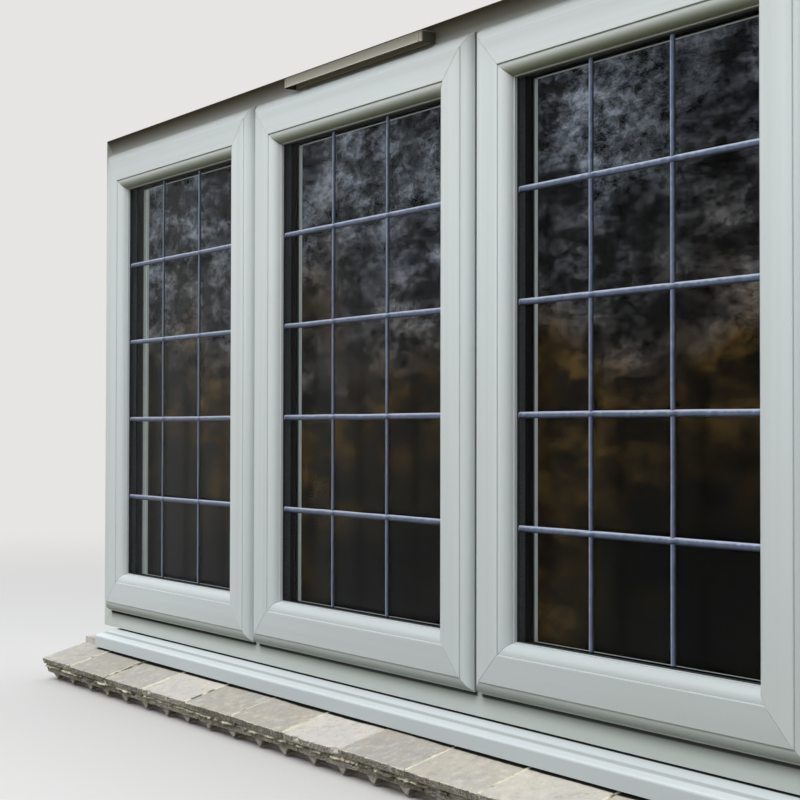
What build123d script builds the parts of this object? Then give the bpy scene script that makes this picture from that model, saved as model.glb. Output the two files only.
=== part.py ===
"""Three-light casement window with leaded double glazing, a trickle vent and a tiled sub-sill.

Frame: X runs along the window, the outside face looks to -Y, Z is up.
The origin lies on the flat underside of the mortar bed, under the middle of the window.
Y = 0 is the outer face of the closed sashes.  All sizes are millimetres.
"""
import os
from math import cos, radians, sin, tan

from build123d import *

# Sashes, widths over the outer edges
side_sash_width = 603.0
middle_sash_width = 623.0
sash_height = 918.0
sash_gap = 8.0

# Sash profile, widths across the face from the outer edge to the glass
outer_ovolo_width = 18.0
sash_flat_width = 42.0
inner_ovolo_width = 18.0
outer_ovolo_depth = 14.0
inner_ovolo_depth = 16.5
quirk_depth = 2.0
quirk_rounding = 1.5
ovolo_lip = 1.7
sash_lip_width = 15.0
sash_lip_thickness = 18.0
glazing_flange_depth = 21.0
glazing_flange_cover = 19.0
sash_depth = 68.0
weld_line = 0.5

# Outer frame and mullions
frame_show = 34.0
sash_lap = 8.0
weather_seal_thickness = 2.5
frame_depth = 70.0
inner_seal_thickness = 3.0
frame_upstand_height = 17.0
frame_edge_radius = 3.0

# Weather seals, a strip against the frame face and one against its upstand
outer_seal_width = 5.0
outer_seal_inset = 1.5
inner_seal_width = 7.0

# Sealed units
glass_cover = 14.0
pane_thickness = 4.0
cavity = 20.0
spacer_width = 7.0
spacer_inset = 3.0
gasket_thickness = 3.0
gasket_width = 9.0
gasket_reveal = 1.5
inner_gasket_thickness = 2.0
inner_gasket_reveal = 0.5

# Glazing beads on the room side
bead_setback = 2.5
bead_nose = 6.0
bead_nose_rounding = 1.5
bead_top = 3.0

# Leads on the outer pane
lead_width = 9.0
lead_height = 1.8
lead_columns = 3
lead_rows = 5

# Window cill
cill_thickness = 23.5
cill_projection = 45.5
cill_fall = 8.0
cill_step = 3.0
cill_step_depth = 12.0
cill_nose_height = 18.8
cill_nose_depth = 12.5
cill_nose_radius = 4.7
cill_inset = 56.0
cill_groove_from_nose = 20.0
cill_groove_width = 1.6
cill_groove_depth = 1.0
cill_cap_thickness = 3.0

# Sub-sill of two tile courses on a mortar bed
tile_slope = 15.0
tile_thickness = 11.5
course_joint = 6.5
tile_projection = 78.0
tile_tuck = 39.0
tile_overhang = 26.0
lower_course_setback = 5.0
tile_to_cill = 6.0
course_joint_setback = 7.0
course_joint_depth = 60.0
tile_width = 165.0
nib_width = 21.0
nib_tip_width = 4.0
nib_depth = 15.0
nib_height = 13.0
nib_setback = 5.0
bed_height = 80.0
bed_front_setback = 36.0
bed_skirt = 3.0

# Trickle vent, a hood outside and a closer inside
canopy_length = 398.0
canopy_projection = 24.7
canopy_height = 16.5
canopy_wall = 1.8
canopy_rounding = 4.0
canopy_corner_radius = 5.0
canopy_cap_length = 8.0
canopy_cap_seam = 0.5
canopy_above_sash = 6.5
canopy_offset = 8.0
closer_height = 20.0
closer_depth = 12.0
closer_rounding = 4.0

# Handles on the two side sashes
handle_plate_width = 24.0
handle_plate_height = 66.0
handle_plate_thickness = 9.0
handle_plate_corner = 8.0
handle_neck_diameter = 18.0
handle_neck_length = 14.0
handle_lever_length = 112.0
handle_lever_width = 17.0
handle_lever_thickness = 11.0
handle_lever_tip_width = 14.0
handle_lever_rounding = 3.5

# Sizes that follow
sash_face = outer_ovolo_width + sash_flat_width + inner_ovolo_width
frame_face = frame_show + sash_lap
frame_front = sash_lip_thickness + weather_seal_thickness
frame_back = frame_front + frame_depth
upstand_front = sash_depth + inner_seal_thickness
frame_inner_edge = frame_face + frame_upstand_height
rebate_platform = sash_face - glazing_flange_cover
frame_width = 2 * side_sash_width + middle_sash_width + 2 * sash_gap + 2 * frame_show
frame_height = sash_height + 2 * frame_show
frame_base = bed_height + cill_thickness
frame_top = frame_base + frame_height
sash_base = frame_base + frame_show
sash_middle_z = sash_base + sash_height / 2
mullion_x = middle_sash_width / 2 + sash_gap / 2
side_sash_x = middle_sash_width / 2 + sash_gap + side_sash_width / 2
pane_front = glazing_flange_depth + gasket_thickness
unit_thickness = 2 * pane_thickness + cavity
pane_back = pane_front + unit_thickness
bead_front = pane_back + inner_gasket_thickness

sashes = {
    "left": (-side_sash_x, side_sash_width),
    "middle": (0.0, middle_sash_width),
    "right": (side_sash_x, side_sash_width),
}

os.makedirs("parts", exist_ok=True)


def save(part, label):
    """Label one finished piece and write it to its own STEP file."""
    part.label = label
    export_step(part, f"parts/{label}.step")


def sides(centre_x, centre_z, width, height):
    """Mid-points, inward directions and lengths of the four sides of a rectangle."""
    return {
        "top_rail": (Vector(centre_x, 0, centre_z + height / 2), Vector(0, 0, -1), width),
        "bottom_rail": (Vector(centre_x, 0, centre_z - height / 2), Vector(0, 0, 1), width),
        "left_stile": (Vector(centre_x - width / 2, 0, centre_z), Vector(1, 0, 0), height),
        "right_stile": (Vector(centre_x + width / 2, 0, centre_z), Vector(-1, 0, 0), height),
    }


def mitred_bar(profile, middle, inward, length):
    """A bar whose section is drawn inward and in depth, cut to 45 degrees at both ends."""
    along = inward.cross(Vector(0, 1, 0))
    with BuildPart() as bar:
        with BuildSketch(Plane(origin=middle, x_dir=inward, z_dir=along)):
            add(profile)
        extrude(amount=length / 2, both=True)
        for end in (along, along * -1):
            cut = (end + inward).normalized()
            corner = middle + end * (length / 2) - cut * (weld_line / 2)
            split(bisect_by=Plane(origin=corner, z_dir=cut), keep=Keep.BOTTOM)
    return bar.part


def ring(centre_x, centre_z, width, height, band, front, back):
    """A flat rectangular ring of one solid, with its outer size, band width and depth range."""
    with BuildPart() as loop:
        with BuildSketch(Plane(origin=(centre_x, back, centre_z), x_dir=(1, 0, 0), z_dir=(0, -1, 0))):
            Rectangle(width, height)
            Rectangle(width - 2 * band, height - 2 * band, mode=Mode.SUBTRACT)
        extrude(amount=back - front)
    return loop.part


def sash_profile():
    """Sash section from its outer edge (x) and its outer face (y), with both ovolos."""
    flat_end = outer_ovolo_width + sash_flat_width
    with BuildSketch() as section:
        with BuildLine():
            Polyline(
                (ovolo_lip, outer_ovolo_depth),
                (0, outer_ovolo_depth),
                (0, sash_lip_thickness),
                (sash_lip_width, sash_lip_thickness),
                (sash_lip_width, sash_depth),
                (rebate_platform, sash_depth),
                (rebate_platform, glazing_flange_depth),
                (sash_face, glazing_flange_depth),
                (sash_face, inner_ovolo_depth),
                (sash_face - ovolo_lip, inner_ovolo_depth),
            )
            TangentArc(
                (flat_end, quirk_depth),
                (sash_face - ovolo_lip, inner_ovolo_depth),
                tangent=(1, 0),
            )
            Polyline(
                (flat_end, quirk_depth),
                (flat_end, 0),
                (outer_ovolo_width, 0),
                (outer_ovolo_width, quirk_depth),
            )
            TangentArc(
                (outer_ovolo_width, quirk_depth),
                (ovolo_lip, outer_ovolo_depth),
                tangent=(-1, 0),
            )
        make_face()
        fillet(section.vertices().group_by(Axis.Y)[0], quirk_rounding)
    return section.sketch


def frame_profile():
    """Outer frame section: a box with an upstand on the room side that the sash closes against."""
    with BuildSketch() as section:
        with Locations((0, frame_front)):
            Rectangle(frame_face, frame_depth, align=(Align.MIN, Align.MIN))
        with Locations((0, upstand_front)):
            Rectangle(frame_inner_edge, frame_back - upstand_front, align=(Align.MIN, Align.MIN))
        room_corner = section.vertices().group_by(Axis.X)[-1].sort_by(Axis.Y)[-1]
        fillet(room_corner, frame_edge_radius)
    return section.sketch


def bead_profile():
    """Glazing bead section: an upright nose near the sight line, then a bevel back to the sash."""
    bead_edge = sash_face - bead_setback
    with BuildSketch() as section:
        with BuildLine():
            Polyline(
                (rebate_platform, sash_depth),
                (rebate_platform, bead_front),
                (bead_edge, bead_front),
                (bead_edge, bead_front + bead_nose),
                (rebate_platform + bead_top, sash_depth),
                close=True,
            )
        make_face()
        nose_corner = section.vertices().group_by(Axis.X)[-1].sort_by(Axis.Y)[-1]
        fillet(nose_corner, bead_nose_rounding)
    return section.sketch


# Outer frame: head, bottom rail and two jambs, mitred at the corners
frame_names = {
    "top_rail": "frame_head",
    "bottom_rail": "frame_bottom_rail",
    "left_stile": "frame_left_jamb",
    "right_stile": "frame_right_jamb",
}
frame_section = frame_profile()
frame_sides = sides(0, frame_base + frame_height / 2, frame_width, frame_height)
for side, (middle, inward, length) in frame_sides.items():
    save(mitred_bar(frame_section, middle, inward, length), frame_names[side])

# Mullions: a stem between the sashes and wings that the sashes close against
stem_width = sash_gap + 2 * sash_lap
wing_width = stem_width + 2 * frame_upstand_height
for label, x in (("mullion_left", -mullion_x), ("mullion_right", mullion_x)):
    with BuildPart() as mullion:
        with BuildSketch(Plane.XY.offset(frame_base + frame_face)):
            with Locations((x, frame_front)):
                Rectangle(stem_width, upstand_front - frame_front, align=(Align.CENTER, Align.MIN))
        extrude(amount=frame_height - 2 * frame_face)
        with BuildSketch(Plane.XY.offset(frame_base + frame_inner_edge)) as wings:
            with Locations((x, upstand_front)):
                Rectangle(wing_width, frame_back - upstand_front, align=(Align.CENTER, Align.MIN))
            fillet(wings.vertices().group_by(Axis.Y)[-1], frame_edge_radius)
        extrude(amount=frame_height - 2 * frame_inner_edge)
    save(mullion.part, label)

# Sashes: four mitred members each
sash_section = sash_profile()
for place, (x, width) in sashes.items():
    for side, (middle, inward, length) in sides(x, sash_middle_z, width, sash_height).items():
        save(mitred_bar(sash_section, middle, inward, length), f"{place}_sash_{side}")

# Weather seals: one ring between the sash lip and the frame, one between the sash and the upstand
inner_seal_edge = frame_inner_edge - frame_show
for place, (x, width) in sashes.items():
    outer_seal = ring(
        x,
        sash_middle_z,
        width - 2 * outer_seal_inset,
        sash_height - 2 * outer_seal_inset,
        outer_seal_width,
        sash_lip_thickness,
        frame_front,
    )
    inner_seal = ring(
        x,
        sash_middle_z,
        width - 2 * (inner_seal_edge - inner_seal_width),
        sash_height - 2 * (inner_seal_edge - inner_seal_width),
        inner_seal_width,
        sash_depth,
        upstand_front,
    )
    with BuildPart() as seals:
        add(outer_seal)
        add(inner_seal)
    save(seals.part, f"{place}_weather_seals")

# Sealed units, spacers, gaskets, beads and leads
bead_section = bead_profile()
for place, (x, width) in sashes.items():
    sight_width = width - 2 * sash_face
    sight_height = sash_height - 2 * sash_face
    glass_width = sight_width + 2 * glass_cover
    glass_height = sight_height + 2 * glass_cover

    with BuildPart() as glass:
        for back in (pane_front + pane_thickness, pane_back):
            pane_plane = Plane(origin=(x, back, sash_middle_z), x_dir=(1, 0, 0), z_dir=(0, -1, 0))
            with BuildSketch(pane_plane):
                Rectangle(glass_width, glass_height)
            extrude(amount=pane_thickness)
    save(glass.part, f"{place}_glass")

    spacer = ring(
        x,
        sash_middle_z,
        glass_width - 2 * spacer_inset,
        glass_height - 2 * spacer_inset,
        spacer_width,
        pane_front + pane_thickness,
        pane_back - pane_thickness,
    )
    save(spacer, f"{place}_glass_spacer")

    outer_gasket = ring(
        x,
        sash_middle_z,
        sight_width + 2 * (gasket_width - gasket_reveal),
        sight_height + 2 * (gasket_width - gasket_reveal),
        gasket_width,
        glazing_flange_depth,
        pane_front,
    )
    bead_sight_width = sight_width + 2 * bead_setback
    bead_sight_height = sight_height + 2 * bead_setback
    inner_gasket = ring(
        x,
        sash_middle_z,
        bead_sight_width + 2 * (gasket_width - inner_gasket_reveal),
        bead_sight_height + 2 * (gasket_width - inner_gasket_reveal),
        gasket_width,
        pane_back,
        bead_front,
    )
    with BuildPart() as gaskets:
        add(outer_gasket)
        add(inner_gasket)
    save(gaskets.part, f"{place}_glazing_gaskets")

    with BuildPart() as beads:
        for middle, inward, length in sides(x, sash_middle_z, width, sash_height).values():
            add(mitred_bar(bead_section, middle, inward, length))
    save(beads.part, f"{place}_glazing_beads")

    # Leads are flat-backed strips with a rounded face, soldered into one lattice
    lead_span_x = sight_width - 2 * gasket_reveal
    lead_span_z = sight_height - 2 * gasket_reveal
    with BuildSketch() as lead_section:
        with BuildLine():
            Line((-lead_width / 2, 0), (lead_width / 2, 0))
            ThreePointArc((lead_width / 2, 0), (0, lead_height), (-lead_width / 2, 0))
        make_face()
    column_step = sight_width / lead_columns
    row_step = sight_height / lead_rows
    with BuildPart() as leads:
        for column in range(1, lead_columns):
            column_x = x - sight_width / 2 + column * column_step
            foot = Plane(
                origin=(column_x, pane_front, sash_middle_z), x_dir=(-1, 0, 0), z_dir=(0, 0, 1)
            )
            with BuildSketch(foot):
                add(lead_section.sketch)
            extrude(amount=lead_span_z / 2, both=True)
        for row in range(1, lead_rows):
            row_z = sash_middle_z - sight_height / 2 + row * row_step
            foot = Plane(origin=(x, pane_front, row_z), x_dir=(0, 0, 1), z_dir=(1, 0, 0))
            with BuildSketch(foot):
                add(lead_section.sketch)
            extrude(amount=lead_span_x / 2, both=True)
    save(leads.part, f"{place}_lead_lattice")

# Cill: a rounded nose, a sloping top with a groove line, and a platform under the frame
nose_front = frame_front - cill_projection
nose_bottom = frame_base - cill_step - cill_fall - cill_nose_height - cill_nose_radius
slope_top = frame_base - cill_step
nose_shoulder = slope_top - cill_fall
groove_y = nose_front + cill_groove_from_nose
slope_rate = cill_fall / (cill_projection - cill_nose_radius)


def slope_z(y):
    """Height of the cill's sloping top at a depth."""
    return slope_top - (frame_front - y) * slope_rate


with BuildSketch() as cill_section:
    with BuildLine():
        Polyline(
            (nose_front + cill_nose_radius, nose_shoulder),
            (groove_y, slope_z(groove_y)),
            (groove_y + cill_groove_width / 2, slope_z(groove_y) - cill_groove_depth),
            (groove_y + cill_groove_width, slope_z(groove_y + cill_groove_width)),
            (frame_front, slope_top),
            (frame_front + cill_step_depth, slope_top),
            (frame_front + cill_step_depth, frame_base),
            (frame_back, frame_base),
            (frame_back, bed_height),
            (nose_front + cill_nose_depth, bed_height),
            (nose_front + cill_nose_depth, nose_bottom),
            (nose_front, nose_bottom),
            (nose_front, nose_shoulder - cill_nose_radius),
        )
        TangentArc(
            (nose_front, nose_shoulder - cill_nose_radius),
            (nose_front + cill_nose_radius, nose_shoulder),
            tangent=(0, 1),
        )
    make_face()

cill_length = frame_width - 2 * cill_inset
cill_body_length = cill_length - 2 * cill_cap_thickness
with BuildPart() as cill:
    with BuildSketch(Plane.YZ):
        add(cill_section.sketch)
    extrude(amount=cill_body_length / 2, both=True)
save(cill.part, "cill")

with BuildPart() as cill_caps:
    for end in (-1, 1):
        with BuildSketch(Plane.YZ.offset(end * cill_body_length / 2)):
            add(cill_section.sketch)
        extrude(amount=end * cill_cap_thickness)
save(cill_caps.part, "cill_end_caps")

# Sub-sill: the top of the upper course passes below the nose of the cill
tile_top_y = nose_front
tile_top_z = nose_bottom - tile_to_cill
course_depth = (tile_projection + tile_tuck) / cos(radians(tile_slope))
fall_rate = tan(radians(tile_slope))
subsill_length = frame_width + 2 * tile_overhang
slab_plane = Plane(
    origin=(0, tile_top_y - tile_projection, tile_top_z - tile_projection * fall_rate),
    x_dir=(0, cos(radians(tile_slope)), sin(radians(tile_slope))),
    z_dir=(1, 0, 0),
)
upper_course = (0.0, -tile_thickness / 2, course_depth)
lower_drop = tile_thickness + course_joint
lower_course = (
    lower_course_setback,
    -lower_drop - tile_thickness / 2,
    course_depth - lower_course_setback,
)

# Nibs: blunt points under the front of the lower course, two to a tile
nib_pitch = tile_width / 2
nib_count = 2 * round(subsill_length / tile_width)
nib_front = slab_plane.from_local_coords(
    (lower_course_setback + nib_setback, -lower_drop - tile_thickness, 0)
)
nib_plane = Plane(origin=nib_front, x_dir=(1, 0, 0), z_dir=slab_plane.x_dir * -1)

# Courses: two slabs laid to the slope, the lower one with the nibs under its front
for label, (start, level, depth) in (
    ("tile_course_upper", upper_course),
    ("tile_course_lower", lower_course),
):
    with BuildPart() as course:
        with BuildSketch(slab_plane):
            with Locations((start + depth / 2, level)):
                Rectangle(depth, tile_thickness)
        extrude(amount=subsill_length / 2, both=True)
        if label == "tile_course_lower":
            with BuildSketch(nib_plane):
                with GridLocations(nib_pitch, nib_pitch, nib_count, 1):
                    Polygon(
                        (-nib_width / 2, 0),
                        (-nib_tip_width / 2, -nib_height),
                        (nib_tip_width / 2, -nib_height),
                        (nib_width / 2, 0),
                        align=None,
                    )
            extrude(amount=-nib_depth)
    save(course.part, label)

# Mortar: the bed under and behind the tiles and the joint between the courses
bed_front = tile_top_y - tile_projection + bed_front_setback
under_cill_front = nose_front + cill_nose_depth + bed_skirt
with BuildPart() as mortar:
    with BuildSketch(Plane.YZ):
        with BuildLine():
            Polyline(
                (bed_front, 0),
                (frame_back, 0),
                (frame_back, bed_height),
                (under_cill_front, bed_height),
                (under_cill_front, tile_top_z),
                (bed_front, tile_top_z - (tile_top_y - bed_front) * fall_rate - tile_thickness),
                close=True,
            )
        make_face()
    extrude(amount=subsill_length / 2, both=True)
    with BuildSketch(slab_plane):
        with Locations((course_joint_setback, -tile_thickness)):
            Rectangle(course_joint_depth, course_joint, align=(Align.MIN, Align.MAX))
    extrude(amount=subsill_length / 2, both=True)
    for start, level, depth in (upper_course, lower_course):
        with BuildSketch(slab_plane):
            with Locations((start + depth / 2, level)):
                Rectangle(depth, tile_thickness)
        extrude(amount=subsill_length / 2, both=True, mode=Mode.SUBTRACT)
save(mortar.part, "mortar_bed")

# Trickle vent hood on the frame head: a thin shell open underneath, with a moulded cap at each end
canopy_base = sash_base + sash_height + canopy_above_sash
with BuildPart() as canopy:
    with Locations((canopy_offset, frame_front, canopy_base)):
        Box(
            canopy_length,
            canopy_projection,
            canopy_height,
            align=(Align.CENTER, Align.MAX, Align.MIN),
        )
    fillet(canopy.edges().filter_by(Axis.Z).group_by(Axis.Y)[0], canopy_corner_radius)
    top_edges = canopy.faces().sort_by(Axis.Z)[-1].edges()
    fillet(top_edges.sort_by(Axis.Y)[:-1], canopy_rounding)
    offset(amount=-canopy_wall, openings=canopy.faces().sort_by(Axis.Z)[0])
    seam_x = canopy_length / 2 - canopy_cap_length
    with Locations(
        (canopy_offset - seam_x, frame_front, canopy_base),
        (canopy_offset + seam_x, frame_front, canopy_base),
    ):
        Box(
            canopy_cap_seam,
            canopy_projection,
            canopy_height,
            align=(Align.CENTER, Align.MAX, Align.MIN),
            mode=Mode.SUBTRACT,
        )
save(canopy.part, "vent_canopy")

# Closer on the room side of the head, behind the hood
closer_middle_z = canopy_base + canopy_height / 2
with BuildPart() as closer:
    with Locations((canopy_offset, frame_back, closer_middle_z)):
        Box(
            canopy_length,
            closer_depth,
            closer_height,
            align=(Align.CENTER, Align.MIN, Align.CENTER),
        )
    fillet(closer.edges().filter_by(Axis.X).group_by(Axis.Y)[-1], closer_rounding)
save(closer.part, "vent_closer")

# Handles, on the right stile of both sashes: plate, neck and a lever that hangs down when the sash is shut
plate_clear_edge = frame_inner_edge - frame_show
handle_from_edge = (plate_clear_edge + rebate_platform) / 2
for place in ("left", "right"):
    sash_x, sash_width = sashes[place]
    handle_x = sash_x + sash_width / 2 - handle_from_edge
    face = Plane(origin=(handle_x, sash_depth, sash_middle_z), x_dir=(-1, 0, 0), z_dir=(0, 1, 0))
    with BuildPart() as handle:
        with BuildSketch(face):
            RectangleRounded(handle_plate_width, handle_plate_height, handle_plate_corner)
        extrude(amount=handle_plate_thickness)
        with BuildSketch(face.offset(handle_plate_thickness)):
            Circle(handle_neck_diameter / 2)
        extrude(amount=handle_neck_length)
        with BuildSketch(face.offset(handle_plate_thickness + handle_neck_length)):
            with BuildLine():
                Polyline(
                    (-handle_lever_width / 2, 0),
                    (-handle_lever_tip_width / 2, -handle_lever_length),
                    (handle_lever_tip_width / 2, -handle_lever_length),
                    (handle_lever_width / 2, 0),
                )
                ThreePointArc(
                    (handle_lever_width / 2, 0),
                    (0, handle_lever_width / 2),
                    (-handle_lever_width / 2, 0),
                )
            make_face()
        extrude(amount=handle_lever_thickness)
        fillet(handle.faces().sort_by(Axis.Y)[-1].edges(), handle_lever_rounding)
    save(handle.part, f"{place}_handle")
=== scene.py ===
"""Looks of a three-light casement window: foiled frames, leaded glass and a weathered tile sub-sill.

Everything is in metres in the row frame: X runs along the window, -Y is outside and Z is up. The scale of a
noise is its number of lumps per metre, and colours are linear.
"""
import math

import bpy
import numpy as np
from mathutils import Matrix, Vector


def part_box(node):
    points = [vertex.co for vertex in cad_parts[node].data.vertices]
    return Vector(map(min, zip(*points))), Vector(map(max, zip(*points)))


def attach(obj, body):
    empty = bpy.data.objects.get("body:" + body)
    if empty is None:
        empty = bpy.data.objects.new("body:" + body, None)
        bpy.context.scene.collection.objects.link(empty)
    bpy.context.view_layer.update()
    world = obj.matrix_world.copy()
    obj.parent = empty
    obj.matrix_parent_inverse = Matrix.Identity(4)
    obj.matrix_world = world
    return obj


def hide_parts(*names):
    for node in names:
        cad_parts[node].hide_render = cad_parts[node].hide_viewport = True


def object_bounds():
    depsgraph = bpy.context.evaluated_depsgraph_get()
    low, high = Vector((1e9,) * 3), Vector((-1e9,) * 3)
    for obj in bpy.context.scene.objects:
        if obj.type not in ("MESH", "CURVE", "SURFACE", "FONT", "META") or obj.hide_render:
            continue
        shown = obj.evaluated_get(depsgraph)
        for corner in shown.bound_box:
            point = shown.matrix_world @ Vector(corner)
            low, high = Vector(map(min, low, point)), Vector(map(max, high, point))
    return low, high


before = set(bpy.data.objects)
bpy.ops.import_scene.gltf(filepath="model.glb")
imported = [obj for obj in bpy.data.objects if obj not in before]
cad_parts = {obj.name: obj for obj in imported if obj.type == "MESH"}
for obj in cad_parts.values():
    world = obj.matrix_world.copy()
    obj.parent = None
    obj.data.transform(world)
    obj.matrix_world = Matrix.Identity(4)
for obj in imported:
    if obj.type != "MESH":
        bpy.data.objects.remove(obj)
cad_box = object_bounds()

MM = 0.001
TINY = 1e-9
ALONG = np.array((1.0, 0.0, 0.0))
SASHES = ("left", "middle", "right")

# Photograph and camera, solved from the window's own straight edges
PHOTO_SIDE = 800.0
FOCAL_PIXELS = 1616.0
SENSOR_WIDTH = 36.0
CAMERA_PLACE = Vector((2.1136, -1.3283, 0.4995))
CAMERA_TURN = math.radians(55.967)
CAMERA_TILT = math.radians(1.078)
CAMERA_ROLL = math.radians(0.099)
NEAREST_SEEN = 0.05
FARTHEST_SEEN = 200.0

# Stage: floor and backdrop, the glowing card behind the glass that paints the room and the reflections in it,
# and the shading card over the head
FLOOR_LEVEL = -0.5 * MM
FLOOR_SIZE = 60.0
FLOOR_FADE = (1.6, 6.0)
BACKDROP = (0.80, 0.785, 0.77)
FLOOR_SEEN = (0.50, 0.49, 0.48)
FLOOR_BOUNCE = (0.11, 0.09, 0.055)
SEEN_RAYS = ("Is Camera Ray", "Is Glossy Ray", "Is Transmission Ray")
ROOM_DEPTH = 0.30
ROOM_WIDTH = 6.0
ROOM_HEIGHT = 1.4
# Painted light of the glowing card: nearly black low down, brown in the middle, and blue-grey high up as
# painted reflection
ROOM_LOW = (0.0040, 0.0042, 0.0022)
ROOM_MIDDLE = (0.0850, 0.0470, 0.0100)
ROOM_HIGH = (0.2150, 0.2350, 0.2850)
ROOM_CHANGE = (0.62, 1.40)
ROOM_WAVER = 0.8
ROOM_PATCHES = (9.0, 9.0, 16.0)
ROOM_CONTRAST = 1.8
SHADE_DEPTH = 58.0 * MM
SHADE_GAP = 3.0 * MM
SHADE_TONE = (0.14, 0.09, 0.045)

# Light: a plain overcast sky, brighter towards the top, and one soft lamp in front
SKY_COLOUR = (0.94, 0.975, 1.0)
SKY_LOW = 0.26
SKY_TOP = 1.68
LAMP_PLACE = Vector((0.35, -2.2, 3.2))
LAMP_TARGET = Vector((0.0, 0.0, 0.4))
LAMP_SIZE = (3.4, 2.6)
LAMP_WATTS = 128.0

# Foiled plastic: its tone on each part, the factors that vary it, and noise scales along and across a bar
SASH_SAGE = (0.535, 0.580, 0.592)
FRAME_SAGE = (0.490, 0.535, 0.510)
# The cill's tone is raised so that its upward top reads brighter, painted light; its nose is taken back down
# by painted shade
CILL_SAGE_LIT_TOP = (0.650, 0.700, 0.725)
VENT_SAGE = (0.460, 0.455, 0.385)
FOIL_DARK = (0.93, 0.93, 0.93)
FOIL_LIGHT = (1.045, 1.045, 1.045)
FOIL_OLIVE = (0.93, 0.92, 0.85)
FOIL_DUSTY = (0.72, 0.72, 0.72)
# Painted shade on faces that look down
FOIL_UNDERSIDE_SHADE = (0.36, 0.38, 0.24)
FOIL_GRAIN = (9.0, 420.0)
FOIL_STREAKS = (0.7, 60.0)
FOIL_ROUGHNESS = (0.36, 0.48)
FOIL_SPECULAR = 0.42
FOIL_RELIEF = 0.05 * MM
EDGE_ROUNDING = 0.5 * MM
EDGE_SEGMENTS = 2
WELD_REACH = 0.01 * MM
SHARPEST_SMOOTH = math.radians(34)

# Painted shade and dirt on the plastic. A pair is where a mark starts and where it is full, and a share is
# how strong it gets
# Near black: painted shade in gaps and under parts, and dark seams and grime
BLACK_GRIME_AND_SHADE = (0.012, 0.013, 0.009)
LIP_DEPTH = 14.0 * MM
# Painted shade in the gaps between the sashes
GAP_SHADE_HALF = (5.6 * MM, 5.0 * MM)
GAP_SHADE_FRONT = (LIP_DEPTH - 1.2 * MM, LIP_DEPTH - 0.2 * MM)
GAP_SHADE_BACK = (LIP_DEPTH + 20.0 * MM, LIP_DEPTH + 16.0 * MM)
GAP_SHADE_SHARE = 0.55
# Painted shadow and grime under the sashes, weaker below the gaps between them
UNDER_LINE = (7.0 * MM, 5.4 * MM)
UNDER_FADE = (22.0 * MM, 4.0 * MM)
UNDER_FALL = 1.7
UNDER_TOP = (-12.0 * MM, -8.0 * MM)
UNDER_END = (0.0, 2.0 * MM)
UNDER_SHADOW_TONE = (0.055, 0.062, 0.034)
GAP_BREAK = (3.0 * MM, 8.0 * MM)
GAP_PALER = (3.0 * MM, 14.0 * MM)
GAP_PALER_SHARES = (0.35, 0.9)
# Painted shade, brown, along the top of the head
HEAD_SHADE_DROP = (38.0 * MM, 4.0 * MM)
HEAD_SHADE_SHARE = 0.8
HEAD_SHADE_TONE = (0.115, 0.095, 0.055)

# Painted shade on the plastic, darker low down and towards the right, by height and by place along the window
LOW_SHADE_HEIGHT = (0.80, 0.15)
LOW_SHADE_ALONG = (-0.85, -0.1)
LOW_SHADE_SHARES = (0.05, 0.24)
LOW_SHADE_TONE = (0.200, 0.220, 0.210)
# Painted shade on the bottom rails, more towards the right
RAIL_SHADE_HEIGHT = (100.0 * MM, 60.0 * MM)
RAIL_SHADE_ALONG = (-0.75, 0.45)
RAIL_SHADE_SHARE = 0.26
RAIL_SHADE_TONE = (0.300, 0.330, 0.330)

# Cill: painted shade in the groove, on the front-facing nose and where the frame stands on it
GROOVE_FROM_NOSE = 20.8 * MM
GROOVE_HALF = (6.0 * MM, 3.0 * MM)
GROOVE_SHADE_TONE = (0.385, 0.415, 0.425)
NOSE_FACING = (-0.55, -0.95)
NOSE_SHARE = 0.72
NOSE_SHADE_TONE = (0.385, 0.430, 0.445)
FOOT_FRONT = (-0.8 * MM, 0.6 * MM)
FOOT_BACK = (16.0 * MM, 10.0 * MM)

# Vent hood: painted highlights round the seams of its end caps and along its lower edge, and painted shade at
# its ends
CAP_LENGTH = 8.0 * MM
SEAM_HALF = (0.9 * MM, 0.5 * MM)
SEAM_SHARE = 0.7
SEAM_HIGHLIGHT_HALF = (3.4 * MM, 2.4 * MM)
TIP_HIGHLIGHT = (2.5 * MM, 1.0 * MM)
LOWER_EDGE_HIGHLIGHT = (4.0 * MM, 1.5 * MM)
VENT_HIGHLIGHT_SHARE = 0.6
VENT_HIGHLIGHT_TONE = (0.66, 0.65, 0.58)
VENT_END_SHADE_FACING = (0.5, 0.9)
VENT_END_SHADE_SHARE = 0.85
VENT_END_SHADE_TONE = (0.045, 0.045, 0.028)
VENT_INSIDE_SHADE_FACING = (-0.3, -0.7)

# Rubber, spacers, glass and handles
RUBBER_CLEAN = (0.008, 0.009, 0.010)
RUBBER_DUSTY = (0.030, 0.032, 0.034)
SPACER_DARK = (0.090, 0.100, 0.104)
SPACER_PALE = (0.150, 0.162, 0.165)
# Painted shade on the half of a spacer nearer the room
SPACER_SHADE_BEHIND = (0.004, 0.004, 0.005)
SPACER_SHADE_FADE = 1.5 * MM
GLASS_TINT = (0.93, 0.96, 0.95)
GLASS_IOR = 1.07
HANDLE_GREY = (0.74, 0.74, 0.72)
HANDLE_WHITE = (0.80, 0.80, 0.78)

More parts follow.
